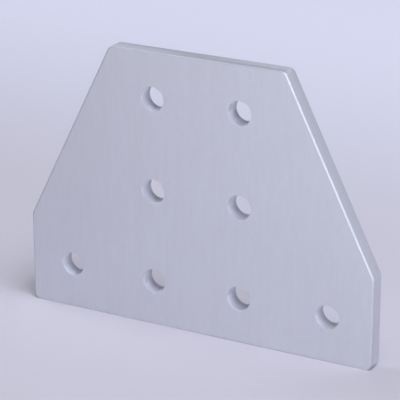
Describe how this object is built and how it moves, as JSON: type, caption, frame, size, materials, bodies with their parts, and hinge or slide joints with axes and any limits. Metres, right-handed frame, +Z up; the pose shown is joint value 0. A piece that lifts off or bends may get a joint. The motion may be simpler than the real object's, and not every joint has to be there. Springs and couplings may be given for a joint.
{
  "type": "extrusion joining plate",
  "caption": "Flat aluminium plate with a wide foot, a narrower stem and slanted sides, drilled for screws that join a post to a rail of slotted framing.",
  "frame": {"origin": "middle of the long bottom edge that the plate stands on, midway through the thickness", "axes": "+Z up the stem, X along the foot, -Y out of the front face and +Y out of the back face that lies on the framing"},
  "size_m": [0.1016, 0.0048, 0.0762],
  "materials": {
    "anodised_aluminium": "satin clear anodised, with a fine drawn grain that runs up the stem"
  },
  "bodies": {
    "root": {"joining_plate": "anodised_aluminium"}
  },
  "joints": []
}
